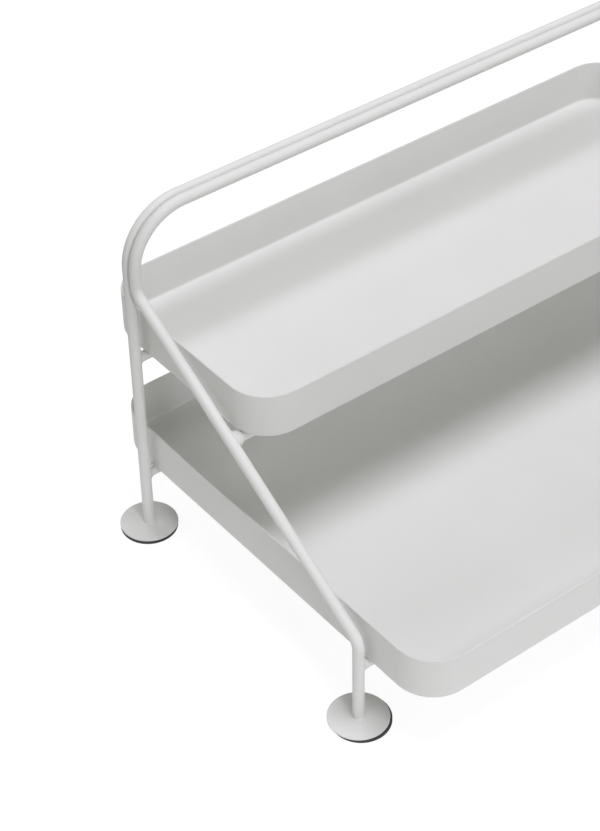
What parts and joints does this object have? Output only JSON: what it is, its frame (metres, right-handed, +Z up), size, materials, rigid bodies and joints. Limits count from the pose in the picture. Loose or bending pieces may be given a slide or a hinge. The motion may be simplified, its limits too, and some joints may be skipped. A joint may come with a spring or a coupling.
{
  "type": "tiered shelf riser",
  "caption": "Stepped riser for a shelf or worktop: shallow round-cornered sheet trays on a bent wire frame with an arched top bar and flat disc feet, for jars and small stock.",
  "frame": {"origin": "on the surface the riser stands on, midway between the side frames and midway along the lower tray", "axes": "+X to the right along the top bar, +Y towards the back, +Z up"},
  "size_m": [0.3944, 0.258, 0.206],
  "materials": {
    "frame_coat": "matt powder coat, light warm grey",
    "tray_coat": "matt powder coat, light warm grey",
    "foot_pad": "matt dark pad"
  },
  "bodies": {
    "root": {"rear_arch_wire": "frame_coat", "front_arch_wire": "frame_coat", "upper_rear_crossbar": "frame_coat", "upper_front_crossbar": "frame_coat", "lower_rear_crossbar": "frame_coat", "lower_front_crossbar": "frame_coat", "upper_tray": "tray_coat", "lower_tray": "tray_coat", "foot_disc_rear_left": "frame_coat", "foot_disc_rear_right": "frame_coat", "foot_disc_front_left": "frame_coat", "foot_disc_front_right": "frame_coat", "foot_pad_rear_left": "foot_pad", "foot_pad_rear_right": "foot_pad", "foot_pad_front_left": "foot_pad", "foot_pad_front_right": "foot_pad"}
  },
  "joints": []
}
